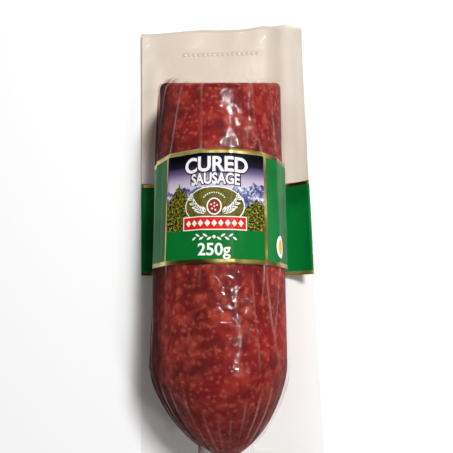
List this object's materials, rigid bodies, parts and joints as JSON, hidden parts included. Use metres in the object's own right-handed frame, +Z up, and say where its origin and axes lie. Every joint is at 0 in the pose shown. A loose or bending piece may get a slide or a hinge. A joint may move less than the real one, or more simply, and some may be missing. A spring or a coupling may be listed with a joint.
{
  "type": "cured sausage",
  "caption": "Half of a thick cured sausage with a slant-cut end and a rounded end, sealed in a flat clear pouch with a printed band around it.",
  "frame": {"origin": "the middle of the pack's footprint, on the surface that it lies on", "axes": "+Y along the sausage towards its cut end and the pouch's header, +Z up from the surface, +X towards the margin that curls up"},
  "size_m": [0.0772, 0.1864, 0.0518],
  "materials": {
    "cured_meat": "satin",
    "front_web": "gloss",
    "back_web": "satin",
    "front_print": "gloss",
    "back_print": "satin"
  },
  "bodies": {
    "root": {"sausage": "cured_meat", "front_film": "front_web", "back_film": "back_web", "front_label": "front_print", "back_label": "back_print"}
  },
  "joints": []
}
